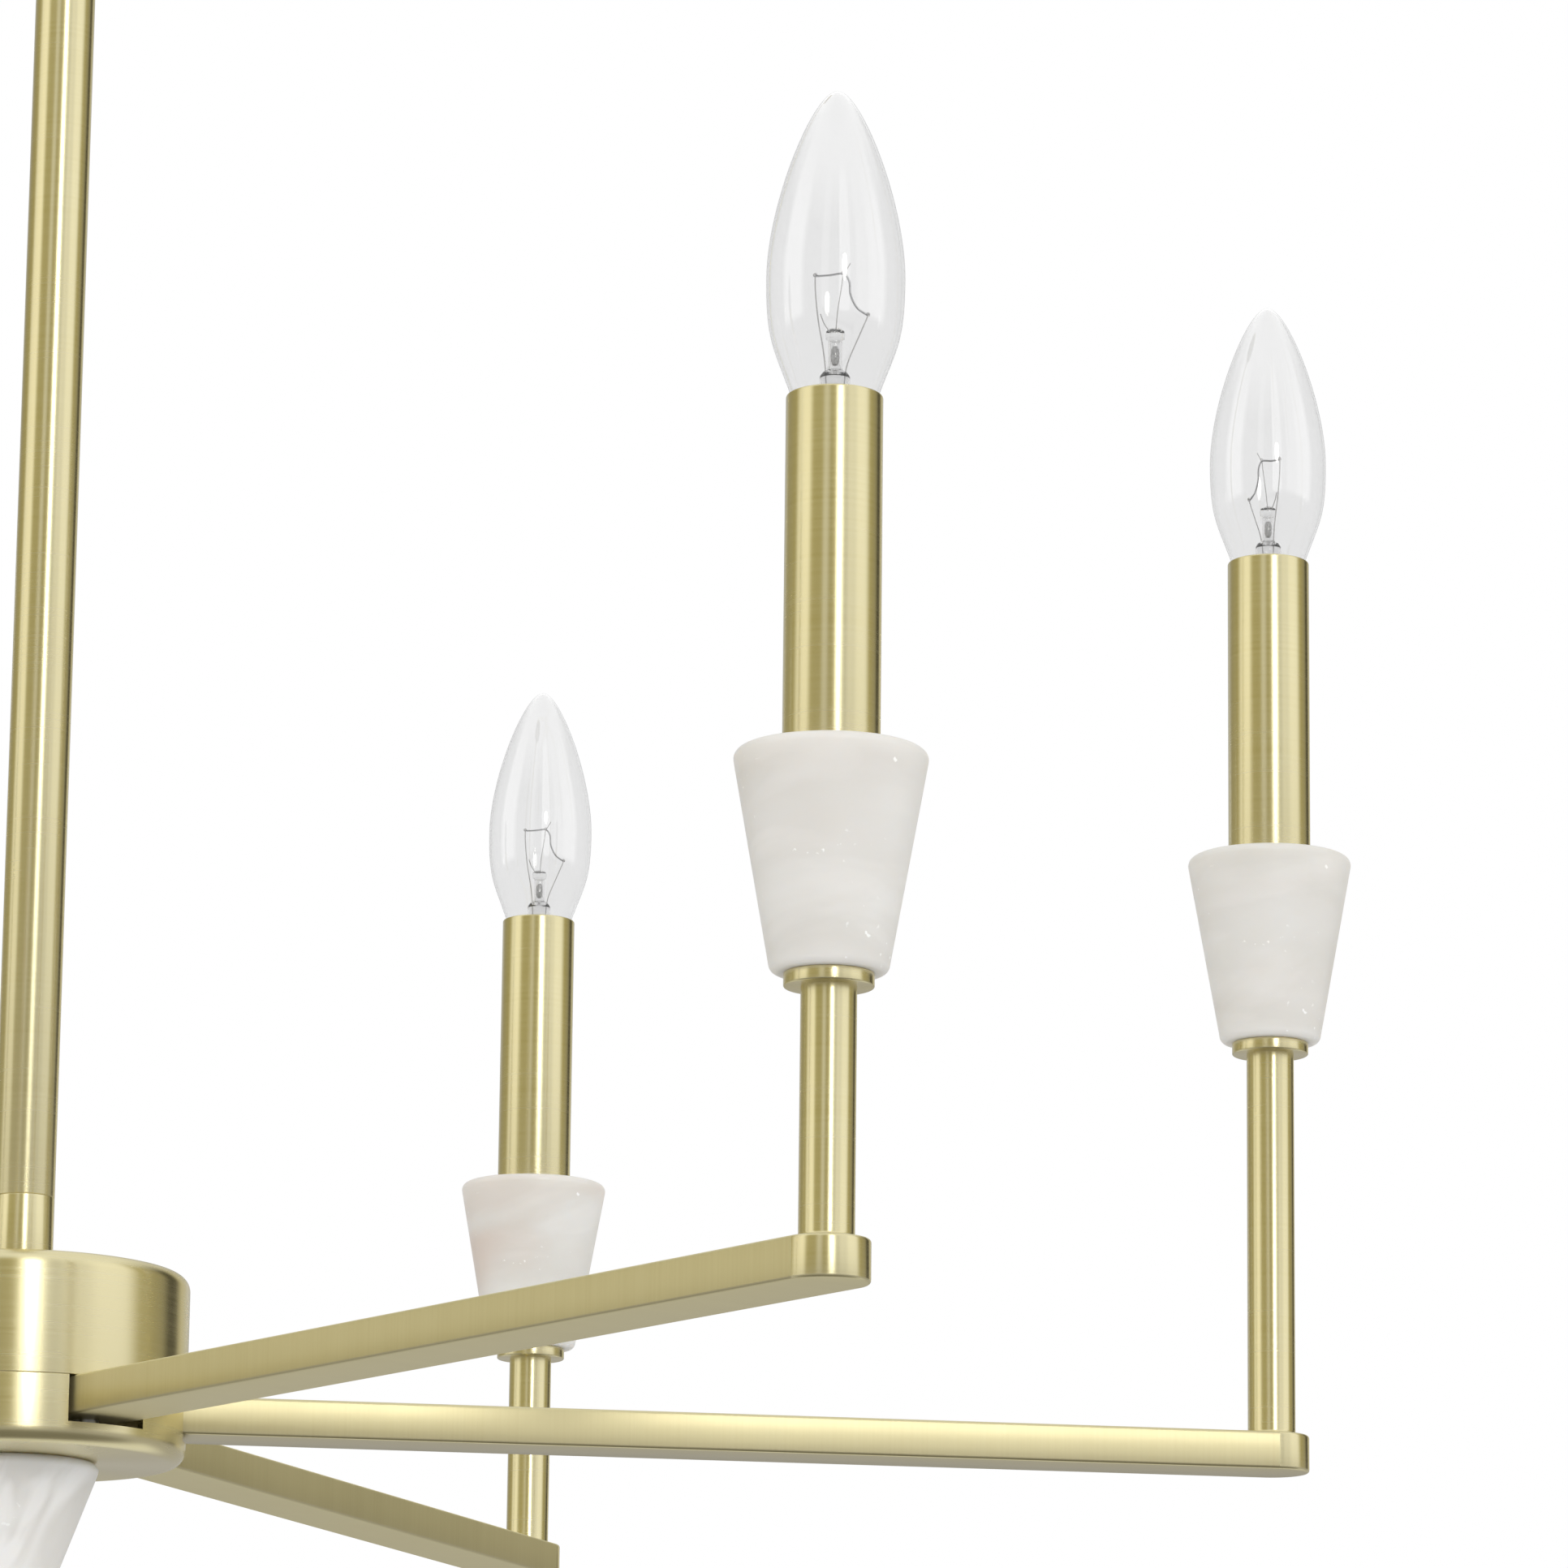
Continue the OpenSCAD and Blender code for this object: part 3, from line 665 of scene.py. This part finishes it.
def make_filament(i, rim, turn):
    """A fine coil hung from the three hooks."""
    route = smooth_path([LEFT_HOOK, (-1.5, 0.2, 28.9), MIDDLE_HOOK, (3.1, 0.5, 27.6), (3.4, 0.4, 24.5),
                         (4.9, 0.2, 21.3), RIGHT_HOOK], 12)
    lengths = [0.0]
    for a, b in zip(route, route[1:]):
        lengths.append(lengths[-1] + (b - a).length)
    coil_r = 0.2
    coil_pitch = 0.28
    steps_per_turn = 8
    count = int(lengths[-1] / coil_pitch * steps_per_turn)
    points = []
    segment = 0
    for k in range(count + 1):
        run = lengths[-1] * k / count
        while segment < len(lengths) - 2 and lengths[segment + 1] < run:
            segment += 1
        along = (route[segment + 1] - route[segment]).normalized()
        base = route[segment] + along * (run - lengths[segment])
        side = along.cross(Vector((0, 1, 0))).normalized()
        other = along.cross(side)
        angle = 2 * math.pi * k / steps_per_turn
        points.append((base + coil_r * (math.cos(angle) * side + math.sin(angle) * other)) * MM)
    mesh_builder = bmesh.new()
    sweep_into(mesh_builder, points, 0.1 * MM, 4)
    filament = finish_mesh(f"filament_{i}", mesh_builder, TUNGSTEN, rim, turn)
    place(filament, f"bulb_{i}")


def make_exhaust_tube(i, rim, turn):
    """The grey sealed tube seen inside the glass stem."""
    outline = in_mm([(0, 7.2), (0.6, 7.4), (0.95, 8.2), (1.0, 9.5), (0.95, 10.9), (0.6, 11.8), (0, 12.0)])
    tube = lathe(f"exhaust_tube_{i}", outline, WIRE, rim, 24, False, turn)
    place(tube, f"bulb_{i}")


def make_base(i, rim):
    """Screw shell with a rolled thread, an insulator and a centre contact."""
    top = -NECK_DROP - 0.05 * MM
    thread_top = -NECK_DROP - 2.2 * MM
    shell_r = 5.95 * MM
    thread_depth = 0.45 * MM
    pitch = 2.54 * MM
    shell_bottom = -22 * MM
    outline = [Vector((0, top)), Vector((shell_r, top)), Vector((shell_r, thread_top))]
    z = thread_top
    steps_per_pitch = 8
    while z > shell_bottom + 1.2 * MM:
        z -= pitch / steps_per_pitch
        wave = 0.5 - 0.5 * math.cos(2 * math.pi * (thread_top - z) / pitch)
        outline.append(Vector((shell_r - thread_depth * wave, z)))
    outline.append(Vector((shell_r - 0.9 * MM, shell_bottom)))
    outline += [point + Vector((0, shell_bottom))
                for point in in_mm([(3.4, -1.4), (2.6, -3.2), (2.4, -4.1), (1.6, -4.5), (0, -4.5)])]
    base = lathe(f"screw_base_{i}", outline, PLATED, rim, 48, False)
    place(base, f"bulb_carrier_{i}", f"bulb_base_{i}")


# Degrees by which each bulb's wires are turned from facing the camera.
BULB_TURN = {1: 130, 2: 8, 3: -70, 4: 40, 5: 205, 6: 0}


def make_bulb(i):
    rim = on_candle(i, high(f"sleeve_{i}").z)
    turn = VIEW_TURN + math.radians(BULB_TURN[i])
    make_glass(i, rim)
    make_mount(i, rim, turn)
    make_wires(i, rim, turn)
    make_filament(i, rim, turn)
    make_exhaust_tube(i, rim, turn)
    make_base(i, rim)


# ---------------------------------------------------------------- hub and finial

HUB_WALL = 2.5 * MM
HUB_FLOOR = 3 * MM
HUB_EDGE = 4 * MM
SEAM_EDGE = 0.22 * MM


def make_drum():
    height = HUB_TOP - SEAM_Z
    inner = HUB_R - HUB_WALL
    outline = rounded(
        [(inner, 0), (HUB_R, 0), (HUB_R, height), (BORE_R, height), (BORE_R, height - HUB_FLOOR),
         (inner, height - HUB_FLOOR)],
        [0, SEAM_EDGE, HUB_EDGE, 0, 0, 1.5 * MM], 10)
    drum = lathe("drum", outline, TURNED, (0, 0, SEAM_Z), FINE_RING_STEPS)
    place(drum, "fixture", "hub_drum")


def make_collar():
    """The collar with a notch cut for each arm."""
    height = SEAM_Z - HUB_BOTTOM
    inner = HUB_R - HUB_WALL
    outline = rounded(
        [(BORE_R, 0), (HUB_R, 0), (HUB_R, height), (inner, height), (inner, HUB_FLOOR), (BORE_R, HUB_FLOOR)],
        [0, HUB_EDGE, SEAM_EDGE, 0, 1.5 * MM, 0], 10)
    steps_per_arm = 27
    collar = lathe("collar", outline, TURNED, (0, 0, HUB_BOTTOM), steps_per_arm * len(ARMS))
    notch_w = 22.6 * MM
    notch_h = 12 * MM
    spare = 2 * MM
    size = Matrix.Diagonal((20 * MM, notch_w, notch_h + spare, 1))
    where = Matrix.Translation((HUB_R, 0, height - notch_h / 2 + spare / 2))
    mesh_builder = bmesh.new()
    for i in ARMS:
        swing = Matrix.Rotation(arm_angle(i), 4, "Z")
        bmesh.ops.create_cube(mesh_builder, size=1.0, matrix=swing @ where @ size)
    cutter = finish_mesh("notch_cutter", mesh_builder, TURNED, (0, 0, HUB_BOTTOM))
    boolean = collar.modifiers.new("notches", "BOOLEAN")
    boolean.object = cutter
    boolean.solver = "EXACT"
    bake_modifiers(collar)
    bpy.data.objects.remove(cutter)
    place(collar, "fixture", "hub_collar")


FINIAL_TOP_R = 22.5 * MM
FINIAL_BOTTOM_R = 7 * MM


def make_finial():
    bottom = low("finial_stone").z
    height = high("finial_stone").z - bottom
    bore = 3.2 * MM
    outline = rounded([(bore, 0), (FINIAL_BOTTOM_R, 0), (FINIAL_TOP_R, height), (bore, height)],
                      [0, 1 * MM, CUP_EDGE, 0], 10)
    stone = lathe("finial_cone", outline, STREAKED_STONE, (0, 0, bottom))
    place(stone, "fixture", "finial_stone")


def make_cap_nut():
    """A domed nut with a waist below its flange."""
    bottom = low("finial_nut").z
    height = high("finial_nut").z - bottom
    dome_r = 5 * MM
    dome_h = 4.6 * MM
    waist_r = 4.6 * MM
    flange_r = 7 * MM
    flange_z = height - 2 * MM
    outline = [Vector((0, 0)), Vector((1.2 * MM, 0.08 * MM))]
    outline += [Vector((dome_r * math.sin(a), dome_h - dome_h * math.cos(a)))
                for a in (math.pi / 2 * k / 12 for k in range(4, 13))]
    outline += [Vector((dome_r, flange_z - 0.6 * MM)), Vector((waist_r, flange_z - 0.2 * MM))]
    outline += rounded([(waist_r, flange_z), (flange_r, flange_z), (flange_r, height), (0, height)],
                       [0, 0.7 * MM, 0.4 * MM, 0], 5)
    nut = lathe("finial_cap_nut", outline, TURNED, (0, 0, bottom), 64, False)
    place(nut, "fixture", "finial_nut")


# ---------------------------------------------------------------- stem, swivel and canopy

ROD_EDGE = 0.22 * MM


def make_rod(name, node):
    bottom = low(node).z
    height = high(node).z - bottom
    outline = rounded([(BORE_R, 0), (ROD_R, 0), (ROD_R, height), (BORE_R, height)],
                      [0, ROD_EDGE, ROD_EDGE, 0], 3)
    rod = lathe(name, outline, TURNED, (0, 0, bottom), 80)
    place(rod, "fixture", node)


def make_canopy():
    height = -low("canopy").z
    radius = (high("canopy").x - low("canopy").x) / 2
    wall = 1.6 * MM
    hole = 5.7 * MM
    outline = rounded(
        [(hole, 0), (radius, 0), (radius, height), (radius - wall, height), (radius - wall, wall),
         (hole, wall)],
        [0, 8 * MM, 0.5 * MM, 0.5 * MM, 6.4 * MM, 0], 14)
    canopy = lathe("ceiling_canopy", outline, TURNED, (0, 0, -height), FINE_RING_STEPS)
    place(canopy, "ceiling_mount", "canopy")


def make_knobs():
    bottom = low("canopy_knobs").z
    height = high("canopy_knobs").z - bottom
    knob_r = 5 * MM
    neck_r = 2.9 * MM
    foot_r = 3.6 * MM
    reach = high("canopy_knobs").x - knob_r
    outline = [Vector((0, 0))]
    outline += [Vector((knob_r * math.sin(a), knob_r - knob_r * math.cos(a)))
                for a in (math.radians(x) for x in range(10, 131, 8))]
    outline += [Vector((neck_r, height - 0.8 * MM)), Vector((foot_r, height - 0.5 * MM)),
                Vector((foot_r, height)), Vector((0, height))]
    for name, side in (("left", -1), ("right", 1)):
        knob = lathe(f"canopy_knob_{name}", outline, TURNED, (side * reach, 0, bottom), 48, False)
        place(knob, "ceiling_mount", "canopy_knobs")


def make_softened(name, node, body, material, edge):
    """A copy of a CAD node with a small flat on each of its sharp edges."""
    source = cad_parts[node]
    mesh_builder = bmesh.new()
    mesh_builder.from_mesh(source.data)
    bmesh.ops.remove_doubles(mesh_builder, verts=mesh_builder.verts, dist=0.001 * MM)
    bmesh.ops.dissolve_limit(mesh_builder, angle_limit=math.radians(1), verts=mesh_builder.verts,
                             edges=mesh_builder.edges)
    piece = finish_mesh(name, mesh_builder, material)
    bevel = piece.modifiers.new("edges", "BEVEL")
    bevel.width = edge
    bevel.segments = 1
    bevel.limit_method = "ANGLE"
    bevel.angle_limit = math.radians(40)
    bake_modifiers(piece)
    place(piece, body, node)


def make_inner_finishes():
    """The hidden fittings keep their CAD shapes and get their own finishes."""
    finishes = {
        STEEL: ["socket_posts", "post_nuts", "arm_plate", "arm_screws", "centre_rod", "centre_nuts",
                "rod_nipples", "swivel_pin", "canopy_screws", "crossbar_nipple", "nipple_nuts"],
        PHENOLIC: ["lamp_sockets", "terminal_ring"],
        INSULATION: ["arm_leads", "supply_lead"],
    }
    for material, names in finishes.items():
        for name in names:
            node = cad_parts[name]
            node.data.materials.clear()
            node.data.materials.append(material)


# ---------------------------------------------------------------- camera, light and floor

CAMERA_PLACE = Vector((0.1977, -1.7316, -0.2407))
CAMERA_PITCH = math.radians(11.884)
CAMERA_ROLL = math.radians(0.642)
CAMERA_LENS = 154.4
CAMERA_SHIFT = 0.110


def make_camera():
    """The camera stands below the arms, beside the stem, and looks slightly up."""
    turn = Matrix.Rotation(VIEW_TURN, 3, "Z")
    ahead = turn @ Vector((0, math.cos(CAMERA_PITCH), math.sin(CAMERA_PITCH)))
    level_right = turn @ Vector((1, 0, 0))
    level_up = level_right.cross(ahead)
    right = level_right * math.cos(CAMERA_ROLL) + level_up * math.sin(CAMERA_ROLL)
    up = level_up * math.cos(CAMERA_ROLL) - level_right * math.sin(CAMERA_ROLL)
    camera = bpy.data.objects.new("camera", bpy.data.cameras.new("camera"))
    bpy.context.scene.collection.objects.link(camera)
    axes = Matrix((right, up, -ahead)).transposed().to_4x4()
    camera.matrix_world = Matrix.Translation(turn @ CAMERA_PLACE + Vector((0, 0, ARM_Z))) @ axes
    camera.data.lens = CAMERA_LENS
    camera.data.sensor_width = 36
    camera.data.shift_y = CAMERA_SHIFT
    camera.data.clip_end = 200
    bpy.context.scene.camera = camera


# Brightness of the studio's soft boxes and dark flags, by degrees round the lamp from the camera's side.
RING_TONES = [
    (-180, 0.55), (-165, 0.55), (-150, 0.50), (-138, 0.34), (-102, 0.38), (-90, 1.05), (-62, 1.18),
    (-52, 0.42), (-34, 0.40), (-27, 0.42), (-23, 0.74), (-14, 0.70), (-9, 0.36), (4, 0.42), (8, 2.1),
    (19, 2.1), (24, 0.72), (31, 0.70), (37, 0.98), (52, 0.94), (60, 1.14), (84, 1.12), (96, 0.42),
    (121, 0.32), (127, 0.05), (139, 0.05), (147, 0.60), (165, 0.55), (180, 0.55)]
NEUTRAL = (1.0, 0.995, 0.98)
CREAM = (1.01, 0.98, 0.88)
WARM = (1.08, 0.965, 0.47)
MELLOW = (1.05, 0.97, 0.68)
SKY = (0.95, 0.95, 0.93)
NEAR_GROUND = (0.20, 0.19, 0.16)
FAR_GROUND = (0.85, 0.85, 0.83)
UNDERFOOT = (0.45, 0.44, 0.43)
CRISP_DARK = (0.42, 0.42, 0.42)
CRISP_BRIGHT = (2.6, 2.6, 2.6)
ROOM_FILL = (0.93, 0.93, 0.93)
WHITE = (1, 1, 1)
HORIZON = (0.84, 0.84, 0.835)
LAMP_LIGHT = (16.0, 15.8, 15.2)
LAMP_AZIMUTH = math.radians(14)
LAMP_HEIGHT = math.radians(17)
LAMP_EDGE = math.radians(4.2)
LAMP_CORE = math.radians(3.0)


def ring_tint(degrees, tone):
    """Neutral behind, mellow next to that, warm in the dark parts and cream in the left's bright ones."""
    if abs(degrees) >= 150:
        return NEUTRAL
    if abs(degrees) >= 115:
        return MELLOW
    if tone < 0.7:
        return WARM
    return NEUTRAL if degrees > 0 else CREAM


def make_world():
    """White backdrop over a pale horizon; reflections see soft boxes and dark flags round the lamp.

    The ring runs from behind the object (-180) by its left, the camera's side (0) and its right. Mirror-sharp
    reflections, which are the glass's, see a stronger grey copy of it, and one small lamp is seen in all."""
    world = bpy.data.worlds.new("studio")
    world.use_nodes = True
    bpy.context.scene.world = world
    nodes = Nodes(world.node_tree)
    coords = nodes.add("ShaderNodeTexCoord")

    def along(direction):
        dot = nodes.add("ShaderNodeVectorMath", operation="DOT_PRODUCT")
        dot.inputs[1].default_value = direction
        nodes.link(coords.outputs["Generated"], dot.inputs[0])
        return dot.outputs["Value"]

    turn = Matrix.Rotation(VIEW_TURN, 3, "Z")
    to_front = along(turn @ Vector((0, -1, 0)))
    to_right = along(turn @ Vector((1, 0, 0)))
    up = along((0, 0, 1))
    azimuth = nodes.math("ARCTAN2", to_right, to_front)
    ring_place = nodes.math("ADD", nodes.math("DIVIDE", azimuth, 2 * math.pi), 0.5)
    stops = [(degrees / 360 + 0.5, [tone * channel for channel in ring_tint(degrees, tone)])
             for degrees, tone in RING_TONES]
    ring = nodes.ramp(ring_place, stops)
    sky = nodes.mix(nodes.fade(up, 0.5, 0.8), ring, SKY)
    ground = nodes.mix(nodes.fade(to_front, -0.45, -0.1), FAR_GROUND, NEAR_GROUND)
    low_ring = nodes.mix(nodes.fade(up, -0.6, -0.42), ground, UNDERFOOT)
    all_round = nodes.mix(nodes.fade(up, -0.06, 0.02), low_ring, sky)
    lamp_way = Vector((math.sin(LAMP_AZIMUTH), -math.cos(LAMP_AZIMUTH), 0)) * math.cos(LAMP_HEIGHT)
    lamp_way.z = math.sin(LAMP_HEIGHT)
    lamp = nodes.fade(along(turn @ lamp_way), math.cos(LAMP_EDGE), math.cos(LAMP_CORE))
    path = nodes.add("ShaderNodeLightPath")
    greys = nodes.add("ShaderNodeRGBToBW")
    nodes.link(all_round, greys.inputs[0])
    crisp = nodes.mix(nodes.fade(greys.outputs[0], 0.45, 1.15), CRISP_DARK, CRISP_BRIGHT)
    glossy = nodes.mix(path.outputs["Is Singular Ray"], all_round, crisp)
    matte = nodes.mix(path.outputs["Is Diffuse Ray"], glossy, ROOM_FILL)
    through_glass = nodes.mix(path.outputs["Is Transmission Ray"], matte, WHITE)
    lit = nodes.mix(lamp, through_glass, LAMP_LIGHT)
    background = nodes.add("ShaderNodeBackground")
    backdrop = nodes.mix(nodes.fade(up, 0.0, 0.09), HORIZON, WHITE)
    nodes.link(nodes.mix(path.outputs["Is Camera Ray"], lit, backdrop), background.inputs["Color"])
    out = nodes.add("ShaderNodeOutputWorld")
    nodes.link(background.outputs[0], out.inputs["Surface"])


LIGHT_AIM = Vector((0, 0, -0.6))


def make_area(name, place_at, size, power):
    """A soft light aimed at the middle of the fixture, which only matte surfaces see."""
    data = bpy.data.lights.new(name, "AREA")
    data.shape = "RECTANGLE"
    data.size, data.size_y = size
    data.energy = power
    light = bpy.data.objects.new(name, data)
    bpy.context.scene.collection.objects.link(light)
    light.location = place_at
    light.rotation_euler = (LIGHT_AIM - Vector(place_at)).to_track_quat("-Z", "Y").to_euler()
    light.visible_glossy = False
    light.visible_camera = False
    light.visible_transmission = False


def make_floor():
    """A pale round floor far below the fixture; the backdrop takes over its tone at the horizon."""
    radius = 40.0
    drop = 4.5
    mesh_builder = bmesh.new()
    bmesh.ops.create_circle(mesh_builder, cap_ends=True, radius=radius, segments=96)
    material, nodes, shader = new_material("pale_floor")
    mottle = nodes.noise(nodes.mapped(), scale=3.0, detail=4.0)
    colour = nodes.mix(nodes.fade(mottle, 0.3, 0.7), (0.885, 0.885, 0.88), (0.905, 0.905, 0.90))
    nodes.put(shader, Base_Color=colour, Roughness=nodes.fade(mottle, 0.2, 0.8, 0.75, 0.9))
    floor = finish_mesh("floor", mesh_builder, material, (0, 0, -drop))
    floor.visible_glossy = False


# ---------------------------------------------------------------- build

bpy.context.scene.view_settings.view_transform = "Standard"
make_camera()
make_world()
make_floor()
make_area("key", (1.6, -2.6, 1.0), (2.2, 2.2), 16)
make_area("fill", (-2.8, -1.2, -0.2), (2.4, 2.4), 10)
make_area("back", (0.6, 3.0, 0.4), (2.6, 2.0), 12)

for number in ARMS:
    make_arm(number)
    make_washer(number)
    make_cup(number)
    make_sleeve(number)
    make_bulb(number)
make_risers()
make_drum()
make_collar()
make_finial()
make_cap_nut()
make_rod("coupler", "stem_coupler")
make_rod("lower_rod", "lower_downrod")
make_rod("upper_rod", "upper_downrod")
make_canopy()
make_knobs()
make_softened("knuckle", "swivel_knuckle", "fixture", TURNED, 0.35 * MM)
make_softened("yoke", "swivel_yoke", "swivel", TURNED, 0.35 * MM)
make_softened("mounting_strap", "crossbar", "ceiling_mount", STEEL, 0.3 * MM)
make_inner_finishes()
